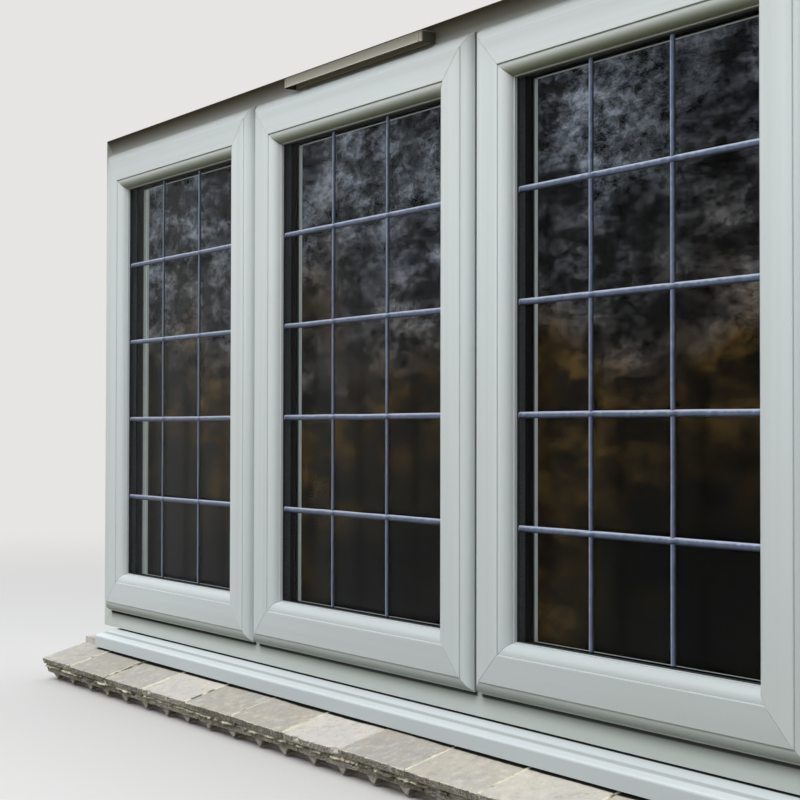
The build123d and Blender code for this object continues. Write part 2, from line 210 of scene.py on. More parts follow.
# Leads: strips pressed onto the outer pane, the rows over the columns
LEAD_WIDTH = 9.0 * MM
LEAD_COLUMNS = 3
LEAD_ROWS = 5
LEAD_REVEAL = 1.5 * MM
LEAD_STEP = 3.0 * MM
LEAD_SECTIONS = 11
LEAD_ROUNDING = 2.3
LEAD_HUMP = 0.8 * MM
LEAD_HUMP_REACH = (3.15 * MM, 9.0 * MM)
LEAD_JOINT_REACH = (4.0 * MM, 12.0 * MM)
LEAD_WAVER = 0.3 * MM
LEAD_WAVER_LENGTH = 90.0 * MM
LEAD_SPREAD = 0.035
LEAD_SPREAD_LENGTH = 40.0 * MM
LEAD_DENT = 0.12
LEAD_DENT_LENGTH = 25.0 * MM
# Painted light and shade on the leads, by the way each side faces
LEAD_LIT_BY_X = -1.1
LEAD_LIT_BY_Z = 1.2
LEAD_LIT_TONES = (
    (0.04, (0.006, 0.009, 0.022)),
    (0.32, (0.060, 0.085, 0.140)),
    (0.58, (0.095, 0.130, 0.205)),
    (0.94, (0.420, 0.460, 0.590)),
)
LEAD_PRESSED = (0.030, 0.036, 0.065)

# Clay tones: a pair is the tone of the darkest tile and of the palest
CLAY_WARM = ((0.345, 0.310, 0.255), (0.525, 0.490, 0.430))
CLAY_COOL = ((0.315, 0.300, 0.278), (0.465, 0.450, 0.420))
CLAY_PITTED = ((0.060, 0.056, 0.048), (0.110, 0.105, 0.094))
CLAY_BROKEN = ((0.430, 0.410, 0.365), (0.620, 0.605, 0.560))
CLAY_BLOOM = (0.610, 0.580, 0.520)
CLAY_STAIN = (0.225, 0.212, 0.175)
CLAY_STREAK = (0.60, 0.57, 0.51)
CLAY_DOTS = (0.10, 0.09, 0.07)
CLAY_GRIT = (0.25, 0.24, 0.20)
CLAY_DAMP = (0.050, 0.046, 0.038)
CLAY_LICHEN = (0.470, 0.440, 0.300)
CLAY_HOLES = (0.030, 0.027, 0.020)
CLAY_WORN = (0.560, 0.540, 0.450)
CILL_SHADOW = (1.2 * MM, 3.0 * MM)
CILL_SHADOW_END = (0.0, -4.0 * MM)

# Mortar tones: a pair is the tone in the bed and where it was pointed up
MORTAR_LOW = ((0.360, 0.325, 0.280), (0.400, 0.365, 0.250))
MORTAR_MIDDLE = ((0.470, 0.430, 0.385), (0.600, 0.560, 0.420))
MORTAR_HIGH = ((0.540, 0.505, 0.460), (0.720, 0.690, 0.580))
MORTAR_SAND = (0.16, 0.145, 0.100)
MORTAR_OPEN = (0.060, 0.050, 0.035)

# Tiles of the sub-sill: a cut tile at the left end, even tiles, and ones that share the rest
TILE_SLOPE = math.radians(15.0)
TILE_THICKNESS = 11.5 * MM
TILE_WIDTH = 165.0 * MM
TILE_JOINT = 3.6 * MM
TILE_ROUNDING = 1.0 * MM
EVEN_TILES = 9
FIRST_CUT = 136.0 * MM
LOWER_OFFSET = 30.0 * MM
LOWER_SETBACK = 5.0 * MM
COURSE_JOINT = 6.5 * MM
UPPER_BASE = -TILE_THICKNESS
LOWER_TOP = UPPER_BASE - COURSE_JOINT
LOWER_BASE = LOWER_TOP - TILE_THICKNESS

# Mesh steps of a tile, close together where it is worn
TILE_STEP = 1.6 * MM
END_STEPS = np.array((0.0, 0.5, 1.2, 2.2, 3.6)) * MM
THICKNESS_STEP = 2.0 * MM
THICKNESS_STEPS = np.array((0.0, 0.5, 1.2, 2.2)) * MM
FRONT_STEPS = np.array((0.0, 0.6, 1.3, 2.2, 3.4, 5.0, 7.0, 9.5)) * MM
BACK_START = 13.0 * MM
BACK_STEPS = 9

# How unevenly the tiles lie, as ranges: lifted, tilted along the window and slipped up the slope
TILE_LIFT = (-1.2 * MM, 0.9 * MM)
TILE_TILT = (-0.008, 0.008)
TILE_SLIP = (0.0, 1.8 * MM)

# Wear, as the size of its lumps, the noise where it starts and is full, and its depth
CHIPS = (17.0 * MM, 0.55, 1.05, 5.0 * MM)
NIBBLES = (7.0 * MM, 0.2, 1.0, 0.9 * MM)
JAGS = (5.5 * MM, -0.2, 0.8, 0.6 * MM)
HOLLOWS = (48.0 * MM, 0.45, 0.65, 12.0 * MM)
SAGS = (30.0 * MM, 0.1, 0.7, 1.5 * MM)
WEAR_REACH = 4.5 * MM
UPPER_FROM = 0.25 * TILE_THICKNESS
CHIP_DROP = 0.55
JAGS_BELOW = 0.8

# Skin of a tile: how far the look of its front and rims reaches, and (size, depth) of its unevenness
FRONT_REACH = (0.4 * MM, 2.6 * MM)
RIM_REACH = (0.3 * MM, 1.6 * MM)
TILE_LUMPS = (16.0 * MM, 0.28 * MM)
TILE_BOW = (90.0 * MM, 0.8 * MM)
GRAIN_SIZE = 3.5 * MM
GRAIN_DEPTH = 0.10 * MM
FRONT_GRAIN_DEPTH = 0.30 * MM

# Mortar: the size of its sandy skin, and how far a joint's mortar goes behind, above and into the tiles
SAND_SIZE = 3.6 * MM
JOINT_OVERLAP = 1.6 * MM
JOINT_RISE = 0.2 * MM
JOINT_SINK = 0.5 * MM

# Nibs under the lower course: length, depth and height, and the width of the tip
NIB_SIZE = np.array((30.0, 15.0, 13.5)) * MM
NIB_TIP = 4.5 * MM
NIB_SETBACK = 15.5 * MM
NIB_ROUNDING = 1.2 * MM
NIB_STEPS = 9
NIB_LUMPS = (6.0 * MM, 0.7 * MM)
NIB_SHIFT = (-4.0 * MM, 4.0 * MM)

# Noise: the usual range of a shader's noise, and how the meshes' own noise is made from a table
USUAL_NOISE = (0.3, 0.7)
TABLE_SEED = 12
TABLE_LENGTH = 4096
SEED_SHIFT = 17.31
AXIS_SEEDS = 31
OCTAVE_RATIO = 2.1
OCTAVE_WEIGHT = 0.55
CELL_FACTORS = np.array((73856093, 19349663, 83492791))
NOISE_TABLE = np.random.default_rng(TABLE_SEED).uniform(-1.0, 1.0, TABLE_LENGTH)

# Seeds, and how far apart in the noise one shape is from the next
TILE_SEED = 5
LOWER_SEED = 40
NIB_SEED = 80
SASH_SEEDS = 20
ROW_SEED = 5
LEAD_APART = 0.7
TILE_APART = 0.4
NIB_APART = 0.3
LUMP_APART = 0.2


def add_object(name, data):
    """A new object in the scene."""
    thing = bpy.data.objects.new(name, data)
    bpy.context.scene.collection.objects.link(thing)
    return thing


def make_camera():
    """The photograph's camera."""
    data = bpy.data.cameras.new("photo_camera")
    data.sensor_width = SENSOR_WIDTH
    data.lens = FOCAL_PIXELS / PHOTO_SIDE * SENSOR_WIDTH
    data.clip_start = NEAREST_SEEN
    data.clip_end = FARTHEST_SEEN
    camera = add_object("photo_camera", data)
    turn = Vector((math.cos(CAMERA_TURN), math.sin(CAMERA_TURN), 0.0))
    level = Vector((-turn.y, turn.x, 0.0))
    ahead = level * math.cos(CAMERA_TILT) + Vector((0.0, 0.0, math.sin(CAMERA_TILT)))
    above = turn.cross(ahead)
    right = turn * math.cos(CAMERA_ROLL) + above * math.sin(CAMERA_ROLL)
    up = above * math.cos(CAMERA_ROLL) - turn * math.sin(CAMERA_ROLL)
    pose = Matrix((right, up, -ahead)).transposed().to_4x4()
    pose.translation = CAMERA_PLACE
    camera.matrix_world = pose
    bpy.context.scene.camera = camera


def put(tree, value, target):
    """Links an output to an input, or writes a number, vector or colour there."""
    if isinstance(value, bpy.types.NodeSocket):
        tree.links.new(value, target)
    else:
        target.default_value = (*value, 1.0) if target.type == "RGBA" else value


def add_node(tree, kind, **values):
    """A new shader node, whose inputs are linked or written by name, with From_Min for From Min."""
    node = tree.nodes.new(f"ShaderNode{kind}")
    for name, value in values.items():
        put(tree, value, node.inputs[name.replace("_", " ")])
    return node


def calculate(tree, operation, first, *others):
    """A sum, product or the like of two or more values, or a function of one."""
    for other in others or (0.0,):
        node = add_node(tree, "Math")
        node.operation = operation
        put(tree, first, node.inputs[0])
        put(tree, other, node.inputs[1])
        first = node.outputs[0]
    return first


def mix_shaders(tree, share, first, second):
    """From the first shader to the second by a share of 0..1."""
    node = add_node(tree, "MixShader", Fac=share)
    tree.links.new(first.outputs[0], node.inputs[1])
    tree.links.new(second.outputs[0], node.inputs[2])
    return node


class Shader:
    """A node material with short calls for the nodes used here."""

    def __init__(self, name):
        self.material = bpy.data.materials.new(name)
        self.material.use_nodes = True
        self.tree = self.material.node_tree
        self.bsdf = self.tree.nodes["Principled BSDF"]
        self.place = self.add("TexCoord")
        self.dirt_and_shade = None

    def add(self, kind, **values):
        """A new node in this material."""
        return add_node(self.tree, kind, **values)

    def surface(self, **values):
        """Links or writes inputs of the shader itself, such as Base_Color."""
        for name, value in values.items():
            put(self.tree, value, self.bsdf.inputs[name.replace("_", " ")])

    def bump(self, height, distance, strength=1.0):
        """Fine relief as deep as the distance."""
        relief = self.add("Bump", Height=height, Distance=distance, Strength=strength)
        self.surface(Normal=relief.outputs["Normal"])

    def position(self, axis):
        """X, Y or Z in the row frame."""
        return self.add("SeparateXYZ", Vector=self.place.outputs["Object"]).outputs[axis]

    def facing(self, axis):
        """X, Y or Z of the direction that the surface faces."""
        return self.add("SeparateXYZ", Vector=self.place.outputs["Normal"]).outputs[axis]

    def attribute(self, name):
        """A number that the mesh carries at its points."""
        node = self.add("Attribute")
        node.attribute_name = name
        return node.outputs["Fac"]

    def noise(self, scale, detail=4.0, rough=0.55):
        """Noise in 0..1; its scale is one number, or a tuple with one for each axis."""
        place = self.place.outputs["Object"]
        if isinstance(scale, tuple):
            place = self.add("Mapping", Vector=place, Scale=scale).outputs["Vector"]
            scale = 1.0
        node = self.add("TexNoise", Vector=place, Scale=scale, Detail=detail, Roughness=rough)
        return node.outputs["Fac"]

    def cells(self, scale):
        """Distance to the middle of the nearest of many scattered cells."""
        node = self.add("TexVoronoi", Vector=self.place.outputs["Object"], Scale=scale)
        return node.outputs["Distance"]

    def math(self, operation, first, *others):
        """A calculation in this material."""
        return calculate(self.tree, operation, first, *others)

    def times(self, first, *others):
        """The product of two or more values."""
        return self.math("MULTIPLY", first, *others)

    def away_from(self, value, middle):
        """How far a value is from the middle, on either side."""
        return self.math("ABSOLUTE", self.math("SUBTRACT", value, middle))

    def levels(self, value, low, high, out_low=0.0, out_high=1.0):
        """Value stretched from low..high to out_low..out_high, and clamped."""
        limits = {"From_Min": low, "From_Max": high, "To_Min": out_low, "To_Max": out_high}
        return self.add("MapRange", Value=value, **limits).outputs["Result"]

    def spread(self, noise, low, high):
        """A noise whose usual range is stretched to low..high."""
        return self.levels(noise, *USUAL_NOISE, low, high)

    def ramp(self, value, *stops):
        """Colours along a value: stops are (position, colour)."""
        node = self.add("ValToRGB", Fac=value)
        band = node.color_ramp
        while len(band.elements) < len(stops):
            band.elements.new(0.5)
        for element, (position, colour) in zip(band.elements, stops):
            element.position = position
            element.color = (*colour, 1.0)
        return node.outputs["Color"]

    def mix(self, share, first, second):
        """From the first colour to the second by a share of 0..1."""
        node = self.add("Mix", Factor=share)
        node.data_type = "RGBA"
        colours = [socket for socket in node.inputs if socket.type == "RGBA"]
        put(self.tree, first, colours[0])
        put(self.tree, second, colours[1])
        return next(socket for socket in node.outputs if socket.type == "RGBA")

    def over(self, tone, colour, value, start, full, most=1.0):
        """Lays a colour over a tone: none of it where the value is at start, and the most at full."""
        return self.mix(self.levels(value, start, full, 0.0, most), tone, colour)

    def lay_dirt_and_shade(self, tone, dirt_and_shade, amount):
        """Lays a dark tone of dirt and painted shade over a tone, and remembers how much, so that the surface
        turns matt there.
        """
        self.dirt_and_shade = amount if self.dirt_and_shade is None else self.math("MAXIMUM", self.dirt_and_shade, amount)
        return self.mix(amount, tone, dirt_and_shade)


def drawn_out(axis, along, across):
    """Noise scales for lumps that are drawn out along one axis."""
    return tuple(along if name == axis else across for name in "XYZ")


def tinted(tone, factors):
    """A tone with its red, green and blue each multiplied."""
    return tuple(part * factor for part, factor in zip(tone, factors))


def foil_material(name, axis, base, *marks):
    """Satin foiled plastic with a faint grain along the bar, painted shade on its undersides and its own
    marks.
    """
    s = Shader(name)
    grain = s.noise(drawn_out(axis, *FOIL_GRAIN), detail=3.0, rough=0.6)
    streaks = s.noise(drawn_out(axis, *FOIL_STREAKS), detail=2.0, rough=0.5)
    cloud = s.noise(2.4, detail=3.0, rough=0.5)
    dust = s.noise(34.0, detail=6.0, rough=0.7)
    tone = s.ramp(streaks, (0.3, tinted(base, FOIL_DARK)), (0.5, base), (0.72, tinted(base, FOIL_LIGHT)))
    tone = s.over(tone, tinted(base, FOIL_OLIVE), cloud, 0.45, 0.75, 0.35)
    tone = s.over(tone, tinted(base, FOIL_DUSTY), dust, 0.60, 0.80, 0.25)
    # Painted shade: darker and olive on faces that look down
    tone = s.over(tone, tinted(base, FOIL_UNDERSIDE_SHADE), s.facing("Z"), -0.05, -0.75, 0.9)
    for mark in marks:
        tone = mark(s, tone)
    roughness = s.spread(grain, *FOIL_ROUGHNESS)
    specular = FOIL_SPECULAR
    if s.dirt_and_shade is not None:
        roughness = s.math("MAXIMUM", roughness, s.dirt_and_shade)
        specular = s.times(s.math("SUBTRACT", 1.0, s.dirt_and_shade), FOIL_SPECULAR)
    s.surface(Base_Color=shade_low_down(s, tone), Roughness=roughness, Specular_IOR_Level=specular)
    s.bump(grain, FOIL_RELIEF)
    return s.material


def faces_out(s):
    """One on faces that look outwards, nought on the room side and on upward faces."""
    return s.levels(s.facing("Y"), -0.2, -0.5)


def shade_low_down(s, tone):
    """Painted shade: the plastic gets darker towards the ground, more towards the right."""
    height = s.levels(s.position("Z"), *LOW_SHADE_HEIGHT)
    amount = s.levels(s.position("X"), *LOW_SHADE_ALONG, *LOW_SHADE_SHARES)
    return s.mix(s.times(height, amount), tone, LOW_SHADE_TONE)


def from_sash_gap(s):
    """Distance along the window from the middle of the nearer gap between two sashes."""
    gap_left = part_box("middle_sash_right_stile")[1].x
    gap_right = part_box("right_sash_left_stile")[0].x
    return s.away_from(s.math("ABSOLUTE", s.position("X")), (gap_left + gap_right) / 2)


def shade_between_sashes(s, tone):
    """Painted shade, near black, deep in the gaps between the sashes."""
    near = s.levels(from_sash_gap(s), *GAP_SHADE_HALF)
    behind_lip = s.levels(s.position("Y"), *GAP_SHADE_FRONT)
    before_back = s.levels(s.position("Y"), *GAP_SHADE_BACK, 0.0, GAP_SHADE_SHARE)
    return s.lay_dirt_and_shade(tone, BLACK_GRIME_AND_SHADE, s.times(near, behind_lip, before_back))


def shade_on_rails(s, tone):
    """Painted shade that darkens the bottom rails, more towards the right."""
    rail_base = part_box("left_sash_bottom_rail")[0].z
    height = s.levels(s.math("SUBTRACT", s.position("Z"), rail_base), *RAIL_SHADE_HEIGHT)
    amount = s.levels(s.position("X"), *RAIL_SHADE_ALONG, 0.0, RAIL_SHADE_SHARE)
    return s.mix(s.times(height, amount), tone, RAIL_SHADE_TONE)


def shadow_and_grime_under_sashes(s, tone):
    """Painted shadow and black grime on the frame right under the sashes, fading downwards, and weaker below
    the sash gaps where light comes through.
    """
    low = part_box("left_sash_bottom_rail")[0]
    drop = s.math("SUBTRACT", low.z, s.position("Z"))
    from_gap = from_sash_gap(s)
    below_top = s.levels(drop, *UNDER_TOP)
    from_end = s.math("SUBTRACT", -low.x, s.math("ABSOLUTE", s.position("X")))
    here = s.times(below_top, s.levels(from_end, *UNDER_END), faces_out(s))
    # The fade is painted shadow; the line right under the sash edge is painted shadow and grime
    fade = s.math("POWER", s.levels(drop, *UNDER_FADE), UNDER_FALL)
    fade = s.times(fade, s.levels(from_gap, *GAP_PALER, *GAP_PALER_SHARES), here)
    line = s.times(s.levels(drop, *UNDER_LINE), s.levels(from_gap, *GAP_BREAK), here)
    tone = s.lay_dirt_and_shade(tone, UNDER_SHADOW_TONE, fade)
    return s.lay_dirt_and_shade(tone, BLACK_GRIME_AND_SHADE, line)


def shade_on_head(s, tone):
    """Painted shade, brown, along the top of the head, as under a lintel."""
    head_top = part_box("frame_head")[1].z
    drop = s.math("SUBTRACT", head_top, s.position("Z"))
    amount = s.levels(drop, *HEAD_SHADE_DROP, 0.0, HEAD_SHADE_SHARE)
    return s.lay_dirt_and_shade(tone, HEAD_SHADE_TONE, s.times(amount, faces_out(s)))


def cill_shade_bands(s, tone):
    """Painted shade: a darker groove along the cill's top, a darker nose where it faces out, and black where
    the frame stands on it.
    """
    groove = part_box("cill")[0].y + GROOVE_FROM_NOSE
    tone = s.over(tone, GROOVE_SHADE_TONE, s.away_from(s.position("Y"), groove), *GROOVE_HALF)
    tone = s.over(tone, NOSE_SHADE_TONE, s.facing("Y"), *NOSE_FACING, NOSE_SHARE)
    frame_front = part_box("frame_bottom_rail")[0].y
    behind_front = s.math("SUBTRACT", s.position("Y"), frame_front)
    foot = s.times(s.levels(behind_front, *FOOT_FRONT), s.levels(behind_front, *FOOT_BACK))
    return s.lay_dirt_and_shade(tone, BLACK_GRIME_AND_SHADE, foot)


def vent_marks(s, tone):
    """Painted highlights round the end caps and along the lower edge of the hood, dark cap seams, and painted
    shade on its ends and, black, inside.
    """
    low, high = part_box("vent_canopy")
    from_middle = s.away_from(s.position("X"), (low.x + high.x) / 2)
    from_end = s.math("SUBTRACT", (high.x - low.x) / 2, from_middle)
    from_seam = s.away_from(from_end, CAP_LENGTH)
    above_base = s.math("SUBTRACT", s.position("Z"), low.z)
    beside_seam = s.levels(from_seam, *SEAM_HIGHLIGHT_HALF)
    tip = s.levels(from_end, *TIP_HIGHLIGHT)
    lower_edge = s.levels(above_base, *LOWER_EDGE_HIGHLIGHT)
    # Painted highlights beside the cap seams, at the tips and along the lower edge
    pale = s.math("MAXIMUM", beside_seam, tip, lower_edge)
    tone = s.mix(s.times(pale, VENT_HIGHLIGHT_SHARE), tone, VENT_HIGHLIGHT_TONE)
    tone = s.lay_dirt_and_shade(tone, BLACK_GRIME_AND_SHADE, s.levels(from_seam, *SEAM_HALF, 0.0, SEAM_SHARE))
    # Painted shade on the ends, and black painted shade inside the hood
    sideways = s.math("ABSOLUTE", s.facing("X"))
    tone = s.lay_dirt_and_shade(tone, VENT_END_SHADE_TONE, s.levels(sideways, *VENT_END_SHADE_FACING, 0.0, VENT_END_SHADE_SHARE))
    return s.lay_dirt_and_shade(tone, BLACK_GRIME_AND_SHADE, s.levels(s.facing("Z"), *VENT_INSIDE_SHADE_FACING))


def rubber_material():
    """Black seals and gaskets, a little dusty."""
    s = Shader("black_rubber")
    dust = s.noise(90.0, detail=5.0, rough=0.65)
    tone = s.ramp(dust, (0.35, RUBBER_CLEAN), (0.7, RUBBER_DUSTY))
    s.surface(Base_Color=tone, Roughness=s.spread(dust, 0.5, 0.75))
    s.bump(dust, 0.1 * MM)
    return s.material


def spacer_material():
    """Dark spacers between the panes, with painted shade on the half nearer the room, so the half nearer the
    outside looks greyer.
    """
    s = Shader("dark_spacer")
    brushed = s.noise((500.0, 120.0, 500.0), detail=2.0)
    rim = s.ramp(brushed, (0.3, SPACER_DARK), (0.7, SPACER_PALE))
    low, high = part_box("left_glass_spacer")
    middle = (low.y + high.y) / 2
    tone = s.over(rim, SPACER_SHADE_BEHIND, s.position("Y"), middle, middle + SPACER_SHADE_FADE)
    s.surface(Base_Color=tone, Roughness=s.spread(brushed, 0.42, 0.6), Metallic=0.4)
    return s.material


def glass_material():
    """Clear glass that mirrors little of the pale surroundings."""
    s = Shader("clear_glass")
    s.surface(Base_Color=GLASS_TINT, Transmission_Weight=1.0, IOR=GLASS_IOR, Roughness=0.0)
    return s.material


def lead_material():
    """Dull blue-grey lead, with painted light where it faces up and to the left and painted shade where it
    faces down and right, darker where strips cross.
    """
    s = Shader("lead")
    oxide = s.noise(130.0, detail=6.0, rough=0.65)
    by_x = s.times(s.facing("X"), LEAD_LIT_BY_X)
    by_z = s.times(s.facing("Z"), LEAD_LIT_BY_Z)
    lit = s.math("ADD", by_z, by_x, s.spread(oxide, -0.14, 0.14))
    tone = s.ramp(s.levels(lit, -0.50, 0.50), *LEAD_LIT_TONES)
    pressed = s.times(s.attribute("joint"), s.levels(oxide, 0.45, 0.6, 0.0, 0.5))
    tone = s.mix(pressed, tone, LEAD_PRESSED)
    s.surface(Base_Color=tone, Roughness=s.spread(oxide, 0.34, 0.5), Metallic=0.45)
    s.bump(oxide, 0.15 * MM)
    return s.material


def handle_material():
    """White powder coat."""
    s = Shader("white_handle")
    speck = s.noise(700.0, detail=3.0)
    tone = s.ramp(speck, (0.3, HANDLE_GREY), (0.7, HANDLE_WHITE))
    s.surface(Base_Color=tone, Roughness=s.spread(speck, 0.32, 0.4))
    s.bump(speck, 0.04 * MM)
    return s.material


def tile_material():
    """Weathered clay: pale mottled tops, grey gritty fronts, worn edges and black painted shadow under the
    cill.
    """
    s = Shader("clay_tile")
    paleness = s.attribute("tone")
    blotch = s.noise(11.0, detail=7.0, rough=0.68)
    patch = s.noise(60.0, detail=6.0, rough=0.72)
    streak = s.noise((80.0, 26.0, 26.0), detail=5.0, rough=0.6)
    grit = s.noise(380.0, detail=4.0, rough=0.7)
    coarse = s.noise((330.0, 620.0, 620.0), detail=5.0, rough=0.75)

    top = s.mix(s.levels(blotch, 0.42, 0.58), s.mix(paleness, *CLAY_WARM), s.mix(paleness, *CLAY_COOL))
    top = s.over(top, CLAY_BLOOM, patch, 0.52, 0.70, 0.50)
    top = s.over(top, CLAY_STAIN, patch, 0.46, 0.32, 0.50)
    top = s.over(top, CLAY_STREAK, streak, 0.56, 0.72, 0.20)
    sparse = s.levels(s.noise(38.0, detail=3.0), 0.54, 0.62)
    dots = s.times(s.levels(s.cells(240.0), 0.24, 0.12, 0.0, 0.85), sparse)
    top = s.mix(dots, top, CLAY_DOTS)
    top = s.over(top, CLAY_GRIT, grit, 0.56, 0.68, 0.35)

    face = s.mix(s.levels(coarse, 0.42, 0.60), s.mix(paleness, *CLAY_PITTED), s.mix(paleness, *CLAY_BROKEN))
    face = s.over(face, CLAY_DAMP, blotch, 0.54, 0.42, 0.50)
    face = s.over(face, CLAY_LICHEN, patch, 0.55, 0.60, 0.60)
    face = s.over(face, CLAY_HOLES, grit, 0.55, 0.64, 0.60)
    worn = s.times(s.attribute("rim"), s.levels(patch, 0.40, 0.52, 0.35, 0.95))
    face = s.mix(worn, face, CLAY_WORN)

    tone = s.mix(s.attribute("front"), top, face)
    # Painted shadow, black, on the tiles under the cill's nose
    cill_low, cill_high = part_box("cill_end_caps")
    behind_nose = s.math("SUBTRACT", s.position("Y"), cill_low.y)
    past_end = s.math("SUBTRACT", s.math("ABSOLUTE", s.position("X")), cill_high.x)
    under_cill = s.times(s.levels(behind_nose, *CILL_SHADOW), s.levels(past_end, *CILL_SHADOW_END))
    s.surface(Base_Color=s.mix(under_cill, tone, BLACK_GRIME_AND_SHADE), Roughness=0.88)
    s.bump(s.math("ADD", s.times(grit, 0.7), coarse), 0.6 * MM, strength=0.8)
    return s.material


def mortar_material():
    """Sandy mortar: grey and stained in the bed, pale cream where it was pointed up."""
    s = Shader("mortar")
    pale = s.attribute("pale")
    sand = s.noise(330.0, detail=5.0, rough=0.7)
    stain = s.noise(34.0, detail=6.0, rough=0.65)
    tone = s.mix(s.levels(stain, 0.34, 0.50), s.mix(pale, *MORTAR_LOW), s.mix(pale, *MORTAR_MIDDLE))
    tone = s.mix(s.levels(stain, 0.50, 0.66), tone, s.mix(pale, *MORTAR_HIGH))
    tone = s.over(tone, MORTAR_SAND, sand, 0.57, 0.70, 0.55)
    open_joint = s.levels(s.noise(24.0, detail=3.0, rough=0.6), 0.50, 0.57, 0.0, 0.85)
    tone = s.mix(s.times(open_joint, pale), tone, MORTAR_OPEN)
    s.surface(Base_Color=tone, Roughness=0.92)
    s.bump(sand, 1.2 * MM, strength=0.9)
    return s.material


def make_materials():
    """Each material, by the short name that the node table below uses."""
    return {
        "foil_x": foil_material("sage_foil_rails", "X", SASH_SAGE, shade_on_rails),
        "foil_z": foil_material("sage_foil_stiles", "Z", SASH_SAGE, shade_between_sashes),
        "frame_x": foil_material("sage_frame_rails", "X", FRAME_SAGE, shadow_and_grime_under_sashes, shade_on_head),
        "frame_z": foil_material("sage_frame_posts", "Z", FRAME_SAGE, shade_between_sashes),
        "cill": foil_material("sage_cill", "X", CILL_SAGE_LIT_TOP, cill_shade_bands),
        "vent": foil_material("sage_vent", "X", VENT_SAGE, vent_marks),
        "rubber": rubber_material(),
        "spacer": spacer_material(),
        "glass": glass_material(),
        "lead": lead_material(),
        "handle": handle_material(),
        "clay_tile": tile_material(),
        "mortar": mortar_material(),
    }


# The material of a CAD node, by the first of these words that its name holds
NODE_MATERIALS = {
    "glass_spacer": "spacer",
    "glass": "glass",
    "seals": "rubber",
    "gaskets": "rubber",
    "lead": "lead",
    "handle": "handle",
    "tile_course": "clay_tile",
    "mortar": "mortar",
    "cill": "cill",
    "vent": "vent",
    "jamb": "frame_z",
    "mullion": "frame_z",
    "frame": "frame_x",
    "stile": "foil_z",
    "sash": "foil_x",
    "beads": "foil_x",
}


def soften_edges(node):
    """Rounds a node's sharp edges in the picture, with modifiers alone."""
    mesh = node.data
    mesh.polygons.foreach_set("use_smooth", [True] * len(mesh.polygons))
    if "custom_normal" in mesh.attributes:
        mesh.attributes.remove(mesh.attributes["custom_normal"])
    weld = node.modifiers.new("weld", "WELD")
    weld.merge_threshold = WELD_REACH
    bevel = node.modifiers.new("edges", "BEVEL")
    bevel.width = EDGE_ROUNDING
    bevel.segments = EDGE_SEGMENTS
    bevel.limit_method = "ANGLE"
    bevel.angle_limit = SHARPEST_SMOOTH
    bevel.harden_normals = True
    bevel.use_clamp_overlap = True


def dress_nodes(made):
    """Gives every CAD node its material, and the plastic bars softer edges."""
    for name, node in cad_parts.items():
        word = next(word for word in NODE_MATERIALS if word in name)
        node.data.materials.clear()
        node.data.materials.append(made[NODE_MATERIALS[word]])
        if name.startswith(("frame", "mullion", "cill")) or "_sash_" in name:
            soften_edges(node)


def value_noise(points, size, seed):
    """Smooth noise in -1..1 at each point, whose lumps are about size wide."""
    place = points / size + SEED_SHIFT * seed
    cell = np.floor(place).astype(np.int64)
    part = smooth_step(place - cell, 0.0, 1.0)
    total = np.zeros(len(place))
    for corner in np.ndindex(2, 2, 2):
        key = np.bitwise_xor.reduce((cell + corner) * CELL_FACTORS, axis=1)
        weight = np.where(corner, part, 1.0 - part).prod(axis=1)
        total += weight * NOISE_TABLE[key % TABLE_LENGTH]
    return total


def rough_noise(points, size, seed, octaves=3):
    """Noise with finer and weaker lumps added on top."""
    total = np.zeros(len(points))
    for octave in range(octaves):
        total += value_noise(points, size / OCTAVE_RATIO**octave, seed + octave) * OCTAVE_WEIGHT**octave
    return total


def noise_vector(points, size, seed, octaves=3):
    """Rough noise in each of X, Y and Z."""
    parts = [rough_noise(points, size, seed + AXIS_SEEDS * axis, octaves) for axis in range(3)]
    return np.stack(parts, axis=1)


def smooth_step(value, low, high):
    """Nought up to low, one from high on, and a soft rise between them."""
    part = np.clip((value - low) / (high - low), 0.0, 1.0)
    return part * part * (3.0 - 2.0 * part)


def wear(points, kind, seed, octaves=3):
    """Depth of one kind of wear at each point."""
    size, start, full, depth = kind
    return smooth_step(rough_noise(points, size, seed, octaves), start, full) * depth


def box_grid(us, vs, ws):
    """Points on the six sides of a box, as grids, and the faces between them, wound outwards."""
    shape = (len(us), len(vs), len(ws))
    outside = np.zeros(shape, bool)
    for axis in range(3):
        np.moveaxis(outside, axis, 0)[[0, -1]] = True
    number = np.full(shape, -1)
    number[outside] = np.arange(outside.sum())
    points = np.stack(np.meshgrid(us, vs, ws, indexing="ij"), axis=-1)[outside]
    faces = []
    for axis in range(3):
        for end in (0, -1):
            side = np.take(number, end, axis=axis)
            quads = np.stack((side[:-1, :-1], side[1:, :-1], side[1:, 1:], side[:-1, 1:]), axis=-1)
            quads = quads.reshape(-1, 4)
            faces.append(quads[:, ::-1] if (end == 0) != (axis == 1) else quads)
    return points, np.concatenate(faces)


def edge_steps(length, step, near):
    """Places along a length: at the near distances from both ends, and a step apart between them."""
    between = max(2, round((length - 2 * near[-1]) / step) + 1)
    middle = np.linspace(near[-1], length - near[-1], between)
    return np.concatenate((near[:-1], middle, length - near[-2::-1]))


def round_box(points, high, radius):
    """Points on the sides of a box from nought to high, pulled onto the box with round edges."""
    core = np.clip(points, radius, high - radius)
    out = points - core
    reach = np.maximum(np.linalg.norm(out, axis=1, keepdims=True), TINY)
    return core + out * (radius / reach)


